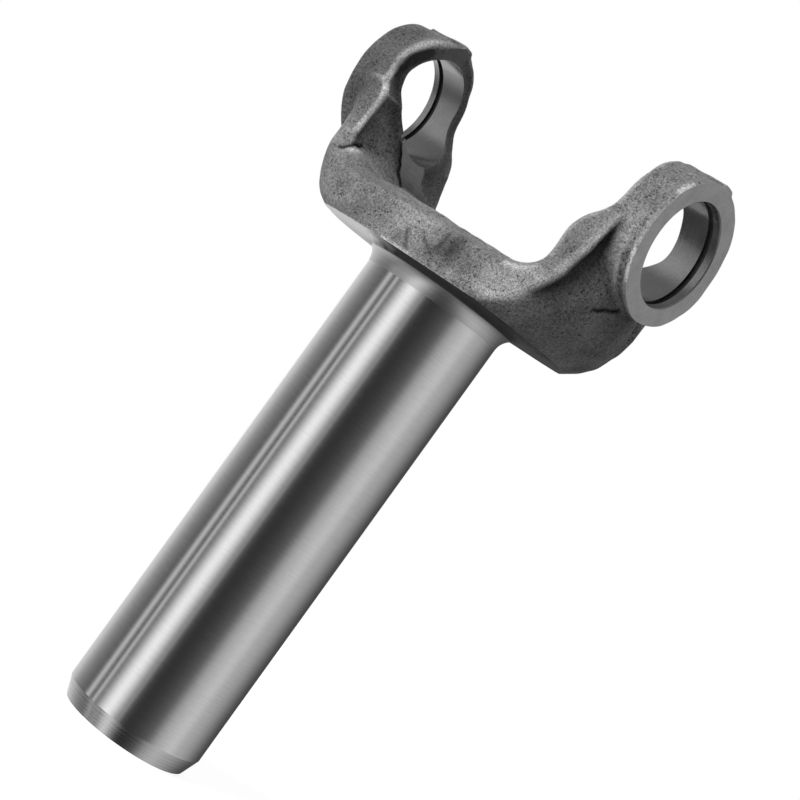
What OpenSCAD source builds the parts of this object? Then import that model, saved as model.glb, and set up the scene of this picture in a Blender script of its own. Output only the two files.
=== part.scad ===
// Forged slip yoke: a ground barrel with an internal spline carries a forged fork.
// The fork's two ears hold the bearing caps of a universal joint cross.
// The barrel's open end rests at z = 0, its axis is Z, and the cross bores lie along X.

/* [Barrel] */
// Ground outer diameter of the barrel
barrel_d = 38.1; // [37:0.1:40]
// Height of the machined underside of the fork above the open end
underside_z = 133.5; // [110:0.5:150]
// Radius of the fillet between the barrel and the underside
root_fillet_r = 5; // [3:0.5:7]
// Width across the radius of the long chamfer at the open end
entry_chamfer_w = 1.8; // [1:0.1:2.2]
// Length along the axis of the long chamfer at the open end
entry_chamfer_l = 4.8; // [3:0.1:8]

/* [Spline bore] */
// Number of internal spline teeth
spline_teeth = 28; // [24:1:32]
// Diameter over the tooth tips, where the shaft's roots run
spline_minor_d = 27.6; // [27:0.1:28]
// Diameter at the bottom of the tooth spaces
spline_major_d = 29.8; // [29:0.1:30]
// Flank angle of a tooth, measured from its centre line
spline_flank_angle = 30; // [20:1:37]
// Diameter of the plain counterbore at the open end
counterbore_d = 30.6; // [30.2:0.1:32]
// Depth of the plain counterbore
counterbore_depth = 14; // [8:0.5:30]
// Chamfer at the mouth of the counterbore
mouth_chamfer = 0.8; // [0.4:0.1:1.2]

/* [Plug] */
// Diameter of the pressed plug and of its seat in the crotch
plug_d = 32; // [31:0.1:34]
// Depth of the plug's seat below the crotch floor
plug_seat_depth = 5; // [4:0.5:8]
// Height of the plug's rim
plug_h = 4; // [3:0.5:6]
// Sheet thickness of the plug
plug_t = 1.6; // [1:0.1:2]
// Diameter of the vent hole in the plug
vent_d = 3; // [1.5:0.1:4]

/* [Fork base] */
// Thickness of the base between the underside and the crotch floor
base_t = 12.9; // [11:0.1:18]
// Radius of the base about the barrel axis
base_r = 45.3; // [44:0.1:47]
// Radius of the machined underside out to its rounded edge
underside_r = 35.8; // [34:0.1:38]
// Radius of the rounded lower corner of the base
base_corner_r = 20; // [18:0.5:24]
// Half width of the base at its middle, front to back
base_half_w = 27.5; // [25:0.5:30]
// Radius of the bulge of the front and back faces
face_bulge_r = 160; // [120:5:300]
// Outward lean of the arms above the base, in degrees
arm_lean = 5; // [3:0.5:7]

/* [Ears] */
// Distance from outer face to outer face of the ears
ear_span = 99.6; // [98:0.1:102]
// Distance between the machined inner faces of the ears
ear_gap = 74.1; // [72:0.1:76]
// Height of the cross bores above the underside
bore_rise = 36.5; // [35:0.5:40]
// Diameter of the cross bores
cross_bore_d = 27; // [26:0.1:28]
// Radius of the round boss about each cross bore, at its outer face
boss_r = 18.4; // [18:0.1:20]
// Draft of the boss, which widens it inward, in degrees
boss_draft = 2.5; // [0.5:0.5:5]
// Chamfer on the inner rim of the boss, above the bore
rim_chamfer = 1.4; // [1:0.1:2.5]
// Chamfer at the outer mouth of each cross bore
bore_chamfer = 0.3; // [0.2:0.05:0.6]
// Distance between the inner walls of the two retaining ring grooves
groove_gap = 92.1; // [90:0.1:94]
// Width of each retaining ring groove
groove_w = 1.6; // [1.2:0.1:2]
// Diameter of each retaining ring groove
groove_d = 28.8; // [28.4:0.1:30]
// Height of the trimmed flash land above the boss radius, on each ear tip
land_h = 0.8; // [0.7:0.1:1.2]
// Width of the trimmed flash land
land_w = 4.4; // [2:0.2:8]

/* [Arms] */
// Half width of the arms at their foot, front to back
arm_foot_half_w = 21.6; // [20.5:0.1:23]
// Height of the arms' foot above the crotch floor
arm_foot_rise = 5.5; // [4:0.5:8]
// Radius of the hollow shoulder between the base's faces and the arms
shoulder_r = 9; // [7:0.5:12]
// Distance from the barrel axis to the thick heel of each arm
heel_x = 30.7; // [29:0.1:32]
// Radius of the crotch corner, from the floor into the heel
crotch_r = 8.6; // [6:0.2:10]
// Height of the straight heel above the crotch corner
heel_h = 2; // [1:0.5:4]
// Height over which the heel steps back to the inner face
heel_step_h = 17; // [14:0.5:18]
// Width of the machined strip down the inner side of each arm
strip_w = 10; // [6:0.5:16]
// Draft of the forged inner side beside the strip, in degrees
inner_draft = 9.5; // [7:0.5:11]
// Depth that machining takes off the forged inner side at the ear
clean_up = 0.65; // [0.3:0.05:1]

/* [Hidden] */
$fn = 96;

barrel_r = barrel_d / 2;
crotch_z = underside_z + base_t;
bore_z = underside_z + bore_rise;
ear_x = ear_span / 2;
face_x = ear_gap / 2;
heel_bottom_z = crotch_z + crotch_r;
heel_top_z = heel_bottom_z + heel_h;
face_start_z = heel_top_z + heel_step_h;
plug_seat_z = crotch_z - plug_seat_depth;
// A cut runs this far past the surface that it opens
over = 1;
// A tooth space starts this far inside the tooth tips
tip_overlap = 0.4;
// Heights above this clear the whole fork
sky_z = bore_z + 2 * boss_r;
arc_steps = 10;

// Points along an arc about [cx, cy], from angle a0 to angle a1
function arc(cx, cy, r, a0, a1, n = arc_steps) =
    [for (i = [0:n]) let (a = a0 + (a1 - a0) * i / n) [cx + r * cos(a), cy + r * sin(a)]];

// Turns a drawing so that its x stays X, its y becomes Z and it is extruded along Y
module along_y(depth) {
    translate([0, depth / 2, 0])
        rotate([90, 0, 0])
            linear_extrude(depth) children();
}

// Turns a drawing so that its x becomes Y, its y becomes Z and it is extruded along X
module along_x(length) {
    translate([-length / 2, 0, 0])
        rotate([90, 0, 90])
            linear_extrude(length) children();
}

// Section of the base and the arms' outer side, turned about the barrel axis
module outer_section() {
    corner_x = base_r - base_corner_r;
    corner_z = underside_z + sqrt(pow(base_corner_r, 2) - pow(underside_r - corner_x, 2));
    start = -asin((corner_z - underside_z) / base_corner_r);
    lean_x = base_r + (sky_z - corner_z) * tan(arm_lean);
    polygon(concat(
        [[0, underside_z]],
        arc(corner_x, corner_z, base_corner_r, start, 0),
        [[lean_x, sky_z], [0, sky_z]]));
}

// Seen from above: the bulged front and back faces
module plan_outline() {
    reach = ear_x + over;
    half = asin(reach / face_bulge_r);
    centre_y = base_half_w - face_bulge_r;
    polygon(concat(
        arc(0, centre_y, face_bulge_r, 90 - half, 90 + half, 2 * arc_steps),
        arc(0, -centre_y, face_bulge_r, 270 - half, 270 + half, 2 * arc_steps)));
}

// Seen from an ear: wide base, hollow shoulders, and arms that narrow into the boss
module side_outline() {
    sweep = acos(1 - (base_half_w - arm_foot_half_w) / shoulder_r);
    half = concat(
        [[base_half_w, underside_z]],
        arc(arm_foot_half_w + shoulder_r, crotch_z + arm_foot_rise, shoulder_r, 180 + sweep, 180),
        [[boss_r - over, bore_z + over]]);
    polygon(concat(half, [for (i = [len(half) - 1:-1:0]) [-half[i][0], half[i][1]]]));
}

// The gap between the arms seen from the front, on one side of the axis
module gap_outline(upper_x) {
    step_angle = 2 * atan((upper_x - heel_x) / heel_step_h);
    step_r = heel_step_h / (2 * sin(step_angle));
    polygon(concat(
        [[-over, crotch_z]],
        arc(heel_x - crotch_r, heel_bottom_z, crotch_r, -90, 0),
        arc(heel_x + step_r, heel_top_z, step_r, 180, 180 - step_angle),
        arc(upper_x - step_r, face_start_z, step_r, -step_angle, 0),
        [[upper_x, sky_z], [-over, sky_z]]));
}

// Gap between the arms: a machined strip, with drafted forged sides in front and behind
module fork_gap() {
    half_depth = base_half_w + over;
    for (side = [0, 1]) mirror([side, 0, 0]) {
        along_y(2 * half_depth) gap_outline(face_x);
        for (front = [0, 1]) mirror([0, front, 0])
            translate([heel_x, strip_w / 2, 0])
                rotate([0, 0, -inner_draft])
                    translate([-heel_x, half_depth, 0])
                        along_y(2 * half_depth) gap_outline(face_x - clean_up);
    }
}

// Base, arms and bosses as forged, before the bores are cut
module fork_body() {
    difference() {
        union() {
            intersection() {
                rotate_extrude() outer_section();
                along_x(2 * ear_x + 2 * over) side_outline();
                translate([0, 0, underside_z - over])
                    linear_extrude(sky_z - underside_z) plan_outline();
            }
            for (side = [0, 1]) mirror([side, 0, 0]) {
                ear_boss();
                tip_land();
            }
        }
        fork_gap();
    }
}

// Round drafted boss of one ear, from inside the arm out to the machined face
module ear_boss() {
    translate([heel_x, 0, bore_z])
        rotate([0, 90, 0])
            cylinder(r1 = boss_r + (ear_x - heel_x) * tan(boss_draft), r2 = boss_r,
                     h = ear_x - heel_x);
}

// Trimmed flash land that runs along the parting line over one ear tip
module tip_land() {
    foot = 2 * land_h;
    translate([face_x + rim_chamfer, 0, bore_z])
        rotate([90, 0, 90])
            linear_extrude(ear_x - face_x - rim_chamfer)
                polygon([
                    [-land_w / 2 - foot, boss_r - land_h],
                    [-land_w / 2, boss_r + land_h],
                    [land_w / 2, boss_r + land_h],
                    [land_w / 2 + foot, boss_r - land_h]]);
}

// Chamfer around the inner rim of one ear, over the upper half of its boss
module rim_cut() {
    rim_r = boss_r + (ear_x - face_x) * tan(boss_draft);
    intersection() {
        translate([face_x - over, 0, bore_z])
            rotate([0, 90, 0])
                difference() {
                    cylinder(r = rim_r + 2 * over, h = rim_chamfer + over);
                    cylinder(r1 = rim_r - rim_chamfer - over, r2 = rim_r,
                             h = rim_chamfer + over);
                }
        translate([0, -ear_x, bore_z]) cube([2 * ear_x, 2 * ear_x, 2 * boss_r]);
    }
}

// Cap bore through one ear, with its groove and mouth chamfer
module cross_bore_cut() {
    r = cross_bore_d / 2;
    translate([0, 0, bore_z]) rotate([0, 90, 0]) {
        cylinder(r = r, h = ear_x + over);
        translate([0, 0, groove_gap / 2]) cylinder(d = groove_d, h = groove_w);
        translate([0, 0, ear_x - bore_chamfer])
            cylinder(r1 = r, r2 = r + bore_chamfer + over, h = bore_chamfer + over);
    }
}

// Barrel with its long entry chamfer, and the fillet under the fork
module barrel() {
    fillet = arc(barrel_r + root_fillet_r, underside_z - root_fillet_r, root_fillet_r, 180, 90);
    rotate_extrude()
        polygon(concat(
            [[0, 0], [barrel_r - entry_chamfer_w, 0], [barrel_r, entry_chamfer_l]],
            fillet,
            [[barrel_r + root_fillet_r, underside_z + over], [0, underside_z + over]]));
}

// One tooth space of the spline, drawn about the bore axis
module tooth_space() {
    pitch_r = (spline_minor_d + spline_major_d) / 4;
    root_r = spline_major_d / 2;
    tip_r = spline_minor_d / 2 - tip_overlap;
    half_w = pitch_r * sin(90 / spline_teeth);
    root_w = half_w - (root_r - pitch_r) * tan(spline_flank_angle);
    tip_w = half_w + (pitch_r - tip_r) * tan(spline_flank_angle);
    polygon([[tip_r, -tip_w], [root_r, -root_w], [root_r, root_w], [tip_r, tip_w]]);
}

// Splined bore with its counterbore at the open end and the plug's seat in the crotch
module spline_cut() {
    translate([0, 0, counterbore_depth - over])
        linear_extrude(plug_seat_z - counterbore_depth + 2 * over) {
            circle(d = spline_minor_d);
            for (i = [0:spline_teeth - 1]) rotate(i * 360 / spline_teeth) tooth_space();
        }
    translate([0, 0, -over]) cylinder(d = counterbore_d, h = counterbore_depth + over);
    translate([0, 0, -over])
        cylinder(r1 = counterbore_d / 2 + mouth_chamfer + over, r2 = counterbore_d / 2,
                 h = mouth_chamfer + over);
    translate([0, 0, plug_seat_z]) cylinder(d = plug_d, h = plug_seat_depth + over);
}

// The forging: barrel, fork and bosses in one piece, then machined
module yoke() {
    color([0.36, 0.36, 0.37])
        difference() {
            union() {
                barrel();
                fork_body();
            }
            spline_cut();
            for (side = [0, 1]) mirror([side, 0, 0]) {
                cross_bore_cut();
                rim_cut();
            }
        }
}

// Cup plug pressed into the crotch, open side up, with a small vent
module expansion_plug() {
    color([0.72, 0.70, 0.62])
        translate([0, 0, plug_seat_z])
            difference() {
                cylinder(d = plug_d, h = plug_h);
                translate([0, 0, plug_t]) cylinder(d = plug_d - 2 * plug_t, h = plug_h);
                translate([0, 0, -over]) cylinder(d = vent_d, h = plug_t + 2 * over);
            }
}

yoke();
expansion_plug();
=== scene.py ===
"""Forged slip yoke: the skinned forging, its machined faces and the pressed plug, in metres."""
import math

import bpy
import numpy as np
from mathutils import Matrix, Vector


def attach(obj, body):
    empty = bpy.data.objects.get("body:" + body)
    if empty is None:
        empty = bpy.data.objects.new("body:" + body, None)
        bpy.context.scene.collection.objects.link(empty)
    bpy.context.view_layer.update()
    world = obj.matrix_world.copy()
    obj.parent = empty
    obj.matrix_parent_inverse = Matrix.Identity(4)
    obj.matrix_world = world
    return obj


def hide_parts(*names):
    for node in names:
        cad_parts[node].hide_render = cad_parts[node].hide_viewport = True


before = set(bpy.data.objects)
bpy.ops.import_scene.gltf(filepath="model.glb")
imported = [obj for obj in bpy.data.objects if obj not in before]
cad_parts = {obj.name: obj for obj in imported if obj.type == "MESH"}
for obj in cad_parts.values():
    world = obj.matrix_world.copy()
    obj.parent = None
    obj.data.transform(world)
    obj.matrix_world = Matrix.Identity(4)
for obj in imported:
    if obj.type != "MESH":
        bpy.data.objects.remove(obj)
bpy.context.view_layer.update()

MM = 0.001

# Sizes of the part, in millimetres, as in its source
UNDERSIDE_Z = 133.5
CROTCH_Z = 146.4
BORE_Z = 170.0
BARREL_R = 19.05
ENTRY_R = 17.25
ENTRY_H = 4.8
FILLET_R = 5.0
BASE_R = 45.3
CORNER_R = 20.0
UNDERSIDE_R = 35.8
LEAN = math.radians(5)
BASE_HALF_W = 27.5
BULGE_R = 160.0
FOOT_HALF_W = 21.6
FOOT_Z = CROTCH_Z + 5.5
SHOULDER_R = 9.0
NECK = [(19.3, 167.5), (12.0, 174.0)]
EAR_X = 49.8
FACE_X = 37.05
BOSS_R = 18.4
BOSS_DRAFT = math.radians(2.5)
BORE_R = 13.5
BORE_MOUTH_R = 13.8
BORE_MOUTH_H = 0.3
GROOVE_R = 14.4
GROOVE_IN_X = 46.05
GROOVE_OUT_X = 47.65
HEEL_X = 30.7
CROTCH_R = 8.6
HEEL_BOTTOM_Z = CROTCH_Z + CROTCH_R
HEEL_TOP_Z = HEEL_BOTTOM_Z + 2
STEP_H = 17.0
FACE_START_Z = HEEL_TOP_Z + STEP_H
STRIP_HALF_W = 5.0
INNER_DRAFT = math.radians(9.5)
STRIP_SLANT = 0.9
STRIP_SLANT_Z = 155.0
LAND_TOP = BORE_Z + BOSS_R + 0.8
LAND_HALF_W = 2.2
SKY_Z = 207.0
SPLINE_TEETH = 28
SPLINE_MINOR_R = 13.8
SPLINE_MAJOR_R = 14.9
COUNTERBORE_R = 15.3
COUNTERBORE_H = 14.0
COUNTERBORE_MOUTH_H = 0.8
PLUG_R = 16.0
PLUG_SEAT_Z = CROTCH_Z - 5.0
PLUG_SHEET = 1.6
PLUG_H = 4.0
PLUG_CORNER_R = 0.8
PLUG_INNER_R = 1.0
PLUG_EDGE = 0.3
VENT_R = 1.5

# Rounding and mismatch that the dies left, as pairs for the left and the right arm
EDGE_R = (3.2, 1.0)
BOSS_FILLET_R = (4.0, 1.0)
BOSS_OFFSET = (-0.55, 0.15)
BOSS_DRAFT_SHARE = (0.1, 0.9)
PLAN_EDGE_R = 0.8
LAND_EDGE_R = 0.3
LAND_FILLET_R = 1.2
GAP_EDGE_R = 1.6
GAP_EDGE_LOW = 1.6
GAP_EDGE_CORNER = 3.5
GAP_EDGE_Z = 154.0

# Hollow down the outside of the right arm, behind its crests
HOLLOW_DEPTH = 3.6
HOLLOW_INSET = 3.8
HOLLOW_SPREAD_OUT = 1.9
HOLLOW_SPREAD_IN = 5.0
HOLLOW_Z = 136.0
HOLLOW_RISE = 26.0

# Fold in the skin at the lower front of the right boss
FOLD_DEPTH = 0.9
FOLD_X = 47.6
FOLD_HALF_W = 1.0

# Painted shade and painted highlights on the skin, with some scale and rubbed places: centre, reach and
# change of tone
PAINTED_LIGHT_AND_SCALE_SPOTS = [
    ((-44.5, -17.5, 162.5), 7.0, -0.40),
    ((-46.5, -13.0, 171.0), 9.0, -0.55),
    ((-45.3, -13.0, 182.0), 8.0, -0.30),
    ((-37.0, -15.0, 167.5), 3.5, -0.15),
    ((-34.4, -14.0, 160.0), 6.0, -0.35),
    ((-31.0, -22.5, 147.5), 3.5, 0.30),
    ((-29.5, -14.0, 149.0), 4.5, 0.45),
    ((-14.5, -26.7, 136.5), 3.5, -0.35),
    ((-2.0, -27.5, 142.0), 7.0, 0.30),
    ((5.0, -27.4, 144.0), 5.0, 0.45),
    ((14.5, -26.8, 139.5), 4.5, -0.35),
    ((0.4, -27.5, 136.0), 1.9, -0.30),
    ((31.0, -24.5, 138.5), 5.5, 0.55),
    ((33.5, -24.0, 144.0), 6.0, 0.40),
    ((35.0, -21.4, 155.0), 5.0, -0.22),
    ((38.0, -19.8, 165.4), 4.0, -0.12),
    ((46.0, -17.5, 165.0), 5.5, 0.75),
    ((41.8, -15.1, 181.0), 6.0, 0.15),
    ((45.5, 5.0, 149.0), 5.0, -0.35),
]

# Painted highlights along crests and painted shade in corners and hollows, partly rubbed wear and scale:
# line, reach and change of tone
PAINTED_LIGHT_AND_WEAR_STROKES = [
    ([(-34.4, -20.4, 150.8), (-34.8, -20.4, 154.8), (-35.3, -19.9, 161.3), (-36.2, -19.6, 166.5)], 0.7, 1.0),
    ([(-38.5, -19.0, 170.0), (-40.2, -17.7, 174.1), (-39.7, -15.3, 178.7), (-38.6, -10.2, 184.7)], 0.8, 0.8),
    ([(-34.5, -19.4, 152.0), (-34.6, -19.5, 160.0), (-35.0, -19.0, 165.0)], 0.9, -0.55),
    ([(-38.5, -18.4, 170.3), (-39.0, -17.0, 173.2), (-39.1, -15.2, 175.4), (-38.8, -13.5, 177.5),
      (-38.2, -11.2, 180.5)], 1.5, -0.7),
    ([(-32.1, -21.6, 147.8), (-31.2, -19.9, 149.0), (-31.3, -18.1, 149.3)], 0.8, 1.2),
    ([(42.7, -18.6, 166.0), (42.2, -17.4, 162.9), (41.2, -17.6, 158.0), (40.7, -20.0, 152.9),
      (40.1, -20.9, 149.3), (39.2, -21.4, 146.0), (37.6, -21.7, 142.6)], 1.7, -0.8),
    ([(43.0, -16.9, 162.0), (42.2, -14.9, 158.1), (41.6, -15.0, 155.5), (40.7, -17.3, 149.0),
      (39.3, -19.0, 145.0)], 2.8, -0.45),
    ([(49.4, -13.0, 156.8), (49.3, -15.4, 159.7), (49.3, -17.0, 163.0)], 0.7, 1.4),
    ([(49.1, -15.7, 179.9), (49.0, -14.5, 181.6), (48.9, -13.0, 183.2)], 0.8, 1.3),
    ([(18.0, -26.4, 135.6), (27.5, -25.2, 136.0), (32.0, -24.0, 137.5)], 1.4, 0.5),
    ([(-3.5, -27.5, 133.7), (5.5, -27.5, 133.7)], 0.45, 1.2),
    ([(1.5, -27.6, 138.6), (4.5, -27.5, 134.2)], 0.4, -0.8),
    ([(5.3, -27.4, 140.3), (7.8, -27.6, 138.5), (10.8, -27.1, 136.6)], 0.5, -0.7),
    ([(11.9, -27.1, 142.5), (11.3, -27.0, 138.0)], 0.6, -0.45),
    ([(15.6, -26.7, 143.0), (14.8, -26.7, 139.5)], 2.0, -0.35),
]

# Forging laps: lines that the surface opens along, facing the way given
CRACKS = [
    [(-34.2, -23.0, 147.2), (-33.7, -22.4, 147.3), (-33.2, -21.6, 148.6), (-33.3, -20.4, 149.1),
     (-33.4, -19.6, 150.2), (-33.5, -18.0, 150.1), (-33.9, -17.0, 151.0)],
    [(-31.3, -9.2, 160.2), (-31.2, -8.4, 158.6), (-30.9, -8.0, 157.2), (-30.6, -6.4, 155.8),
     (-30.4, -5.6, 154.2), (-30.3, -4.4, 153.4), (-30.2, -3.9, 151.8), (-29.4, -2.6, 150.6),
     (-28.3, -1.8, 149.4)],
    [(44.4, -8.6, 147.8), (44.6, -7.2, 148.2), (45.0, -5.6, 149.6), (45.3, -3.4, 150.2),
     (45.4, -1.4, 151.4)],
]
CRACK_DEPTH = 0.9
CRACK_HALF_W = 0.42
LAP_FACING = (0.577, -0.816, 0.0)
LAP_REACH = 3.0

# Rough skin: depth and spacing of its waves, and bark-like on the front of the base
SKIN_WAVES = [(0.16, 9.0), (0.09, 4.0), (0.05, 1.7)]
BARK_DEPTH = 0.09
BARK_PLACE = (9.0, -27.3, 141.0)
BARK_REACH = 8.0

# Painted shadow in a ring inside the ears, round the bores
SHADE_RING_R = 15.6
SHADE_RING_HALF_W = 2.0
SHADE_RING_CHANGE = -0.35
SHADE_RING_WITHIN_X = 40.0

# Least tone of the skin, and how much darker a lap is
TONE_LEAST = 0.16
LAP_DARKNESS = 0.85

# Wear of the cut edges, as a bend of the skin, and the parts where wear is plain
BURR_BEND = 0.55
WORN_Z = 151.5
WORN_X = 27.0
LITTLE_WEAR = 0.25

# Grid on which the forging is shaped, and the step of the looked-up outlines
TABLE_STEP = 0.2
TABLE_LOW = (-5.0, 125.0)
TABLE_HIGH = (65.0, 195.0)
CELL = 0.46
GRID_LOW = (-52.0, -29.5, 129.5)
GRID_HIGH = (52.0, 29.5, 191.5)
SEED = 11

# Camera, fitted to the photograph: it looks across the part with the picture turned
CAMERA_AZIMUTH = 0.6158
CAMERA_ELEVATION = -0.0063
CAMERA_ROLL = 0.6241
CAMERA_DISTANCE = 487.154
CAMERA_SHIFT = (7.309, 105.213)
LENS = 89.355
SENSOR = 36.0


def arc(cx, cy, r, a0, a1, n=12):
    """Points along an arc, angles in degrees."""
    return [(cx + r * math.cos(math.radians(a)), cy + r * math.sin(math.radians(a)))
            for a in np.linspace(a0, a1, n + 1)]


def polygon_distance(px, py, points):
    """Signed distance to a closed polygon, negative inside."""
    shape = np.broadcast(px, py).shape
    nearest = np.full(shape, 1e9, np.float32)
    inside = np.zeros(shape, bool)
    for (ax, ay), (bx, by) in zip(points, points[1:] + points[:1]):
        ex, ey = bx - ax, by - ay
        wx, wy = px - ax, py - ay
        t = np.clip((wx * ex + wy * ey) / (ex * ex + ey * ey + 1e-12), 0, 1)
        nearest = np.minimum(nearest, (wx - t * ex) ** 2 + (wy - t * ey) ** 2)
        if ay != by:
            crosses = (ay > py) != (by > py)
            inside ^= crosses & (wx < (py - ay) / (by - ay) * ex)
    return np.where(inside, -1, 1) * np.sqrt(nearest)


def round_max(a, b, r):
    """Intersection whose outer edge has radius r."""
    return np.minimum(np.maximum(a, b), -r) + np.hypot(np.maximum(a + r, 0), np.maximum(b + r, 0))


def round_min(a, b, r):
    """Union whose inner corner has radius r."""
    return np.maximum(np.minimum(a, b), r) - np.hypot(np.maximum(r - a, 0), np.maximum(r - b, 0))


def spline_weights(coords, spacing):
    """Cubic weight of each noise lattice point at each coordinate."""
    t = (coords - coords[0]) / spacing + 2
    u = np.abs(t[:, None] - np.arange(int(t[-1]) + 3)[None, :])
    near = 2 / 3 - u * u + u ** 3 / 2
    far = np.maximum(2 - u, 0) ** 3 / 6
    return np.where(u < 1, near, far).astype(np.float32)


def smooth_noise(axes, spacing, rng):
    """Smooth random field on the grid, about -2 to 2, with features of the given spacing."""
    weights = [spline_weights(a, spacing) for a in axes]
    field = rng.standard_normal([w.shape[1] for w in weights]).astype(np.float32)
    for w in weights:
        field = np.moveaxis(np.tensordot(w, field, axes=(1, 0)), 0, 2)
    return field / field.std()


def line_distance(points, line):
    """Distance to a line of joined points."""
    line = np.asarray(line)
    nearest = np.full(points.shape[:-1], 1e9)
    for a, b in zip(line[:-1], line[1:]):
        t = np.clip((points - a) @ (b - a) / ((b - a) @ (b - a)), 0, 1)
        nearest = np.minimum(nearest, np.linalg.norm(points - a - t[..., None] * (b - a), axis=-1))
    return nearest


def lap_distance(points, line):
    """Distance to a lap, measured across the way the laps face."""
    facing = np.array(LAP_FACING)
    line = np.array(line)
    near = np.linalg.norm(points[..., None, :] - line, axis=-1).min(-1) < LAP_REACH
    flat = points - (points @ facing)[..., None] * facing
    line = line - (line @ facing)[:, None] * facing
    return np.where(near, line_distance(flat, line), 1e9)


def crack_depth(points):
    """How far the laps open the surface at each point, 0 to 1."""
    depth = np.zeros(points.shape[:-1])
    for line in CRACKS:
        depth = np.maximum(depth, np.exp(-(lap_distance(points, line) / CRACK_HALF_W) ** 2))
    return depth


def open_cracks(field, axes):
    """Sinks the laps into the field, working only in a box round each of them."""
    for line in CRACKS:
        low, high = np.min(line, axis=0) - LAP_REACH, np.max(line, axis=0) + LAP_REACH
        box = [np.nonzero((a > lo) & (a < hi))[0] for a, lo, hi in zip(axes, low, high)]
        part = tuple(slice(b[0], b[-1] + 1) for b in box)
        points = np.stack(np.meshgrid(*(a[p] for a, p in zip(axes, part)), indexing="ij"), -1)
        field[part] += CRACK_DEPTH * np.exp(-(lap_distance(points, line) / CRACK_HALF_W) ** 2)


def gap_points(upper_x):
    """Outline of half the gap between the arms, seen from the front."""
    turn = 2 * math.degrees(math.atan((upper_x - HEEL_X) / STEP_H))
    r = STEP_H / (2 * math.sin(math.radians(turn)))
    return ([(-HEEL_X, CROTCH_Z)]
            + arc(HEEL_X - CROTCH_R, HEEL_BOTTOM_Z, CROTCH_R, -90, 0)
            + arc(HEEL_X + r, HEEL_TOP_Z, r, 180, 180 - turn)
            + arc(upper_x - r, FACE_START_Z, r, -turn, 0)
            + [(upper_x, SKY_Z), (-HEEL_X, SKY_Z)])


def front_corner_points():
    """Outline of half the gap along the front edge of the left arm."""
    return [(-HEEL_X, 147.0), (20.0, 147.0), (26.0, 147.4), (30.4, 149.1), (33.7, 150.6),
            (34.2, 152.0), (34.3, 165.0), (36.9, 168.0), (38.8, 173.0), (39.6, 178.0), (39.8, SKY_Z),
            (-HEEL_X, SKY_Z)]


def side_points():
    """Outline of the arms seen from an ear, wide at the shoulder and narrow at the boss."""
    wide = BASE_HALF_W + 1.5
    sweep = math.degrees(math.acos(1 - (wide - FOOT_HALF_W) / SHOULDER_R))
    half = ([(wide, 120.0)]
            + arc(FOOT_HALF_W + SHOULDER_R, FOOT_Z, SHOULDER_R, 180 + sweep, 180)
            + NECK)
    return half + [(-x, z) for x, z in reversed(half)]


def outline_table(outline):
    """Signed distances to an outline, on the grid of the looked-up outlines."""
    u = np.arange(TABLE_LOW[0], TABLE_HIGH[0], TABLE_STEP)[:, None]
    v = np.arange(TABLE_LOW[1], TABLE_HIGH[1], TABLE_STEP)[None, :]
    return polygon_distance(u, v, outline).astype(np.float32)


def lookup(table, u, v):
    """Bilinear value of an outline's table at u, v."""
    i = np.clip((u - TABLE_LOW[0]) / TABLE_STEP, 0, table.shape[0] - 1.001)
    j = np.clip((v - TABLE_LOW[1]) / TABLE_STEP, 0, table.shape[1] - 1.001)
    i0, j0 = i.astype(int), j.astype(int)
    fi, fj = (i - i0).astype(np.float32), (j - j0).astype(np.float32)
    top = table[i0, j0] * (1 - fj) + table[i0, j0 + 1] * fj
    bottom = table[i0 + 1, j0] * (1 - fj) + table[i0 + 1, j0 + 1] * fj
    return top * (1 - fi) + bottom * fi


def by_arm(x, pair):
    """The pair's first value on the left arm and its second on the right one."""
    return np.where(x < 0, pair[0], pair[1])


def arms_field(axes, x, y, z):
    """Base and arms before the gap: the outlines of the front, side and plan, met in rounded edges."""
    corner_x = BASE_R - CORNER_R
    corner_z = UNDERSIDE_Z + math.sqrt(CORNER_R ** 2 - (UNDERSIDE_R - corner_x) ** 2)
    radius = np.hypot(x, y)
    below = np.hypot(np.maximum(radius - corner_x, 0), z - corner_z) - CORNER_R
    above = (radius - BASE_R - (z - corner_z) * math.tan(LEAN)) * math.cos(LEAN)
    outer = np.where(z < corner_z, below, above)

    side = polygon_distance(axes[1][:, None], axes[2][None, :], side_points())[None, :, :]
    spread = np.where(side > -HOLLOW_INSET, HOLLOW_SPREAD_OUT, HOLLOW_SPREAD_IN)
    depth = HOLLOW_DEPTH * np.clip((z - HOLLOW_Z) / HOLLOW_RISE, 0, 1) ** 1.6
    hollow = depth * np.exp(-((side + HOLLOW_INSET) / spread) ** 2)
    outer = outer + hollow * (x > 0)
    plan = np.hypot(x, np.abs(y) + BULGE_R - BASE_HALF_W) - BULGE_R
    return round_max(outer, round_max(side, plan, PLAN_EDGE_R), by_arm(x, EDGE_R))


def boss_field(x, y, z):
    """Round boss of each ear. The dies sit a little out of line, so the left one lies lower."""
    out = np.abs(x)
    radius = BOSS_R + (EAR_X - out) * math.tan(BOSS_DRAFT) * by_arm(x, BOSS_DRAFT_SHARE)
    # From -1 at the lower front of the bore to 1 at its upper back
    lean = (z - BORE_Z + y) / (np.hypot(y, z - BORE_Z) * math.sqrt(2) + 1e-3)
    fold = FOLD_DEPTH * np.clip(-2.2 * lean - 1.1, 0, 1) * np.exp(-((x - FOLD_X) / FOLD_HALF_W) ** 2)
    fold = fold * (y < 0)
    rim = np.hypot(y, z - BORE_Z - by_arm(x, BOSS_OFFSET)) - radius + fold
    return np.maximum(rim * math.cos(BOSS_DRAFT), HEEL_X - out)


def land_field(x, y, z):
    """Flash land along the top of each ear."""
    top = z - LAND_TOP - np.minimum(by_arm(x, BOSS_OFFSET), 0)
    return np.maximum(round_max(np.abs(y) - LAND_HALF_W, top, LAND_EDGE_R),
                      np.maximum(FACE_X - np.abs(x), BORE_Z - z))


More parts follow.
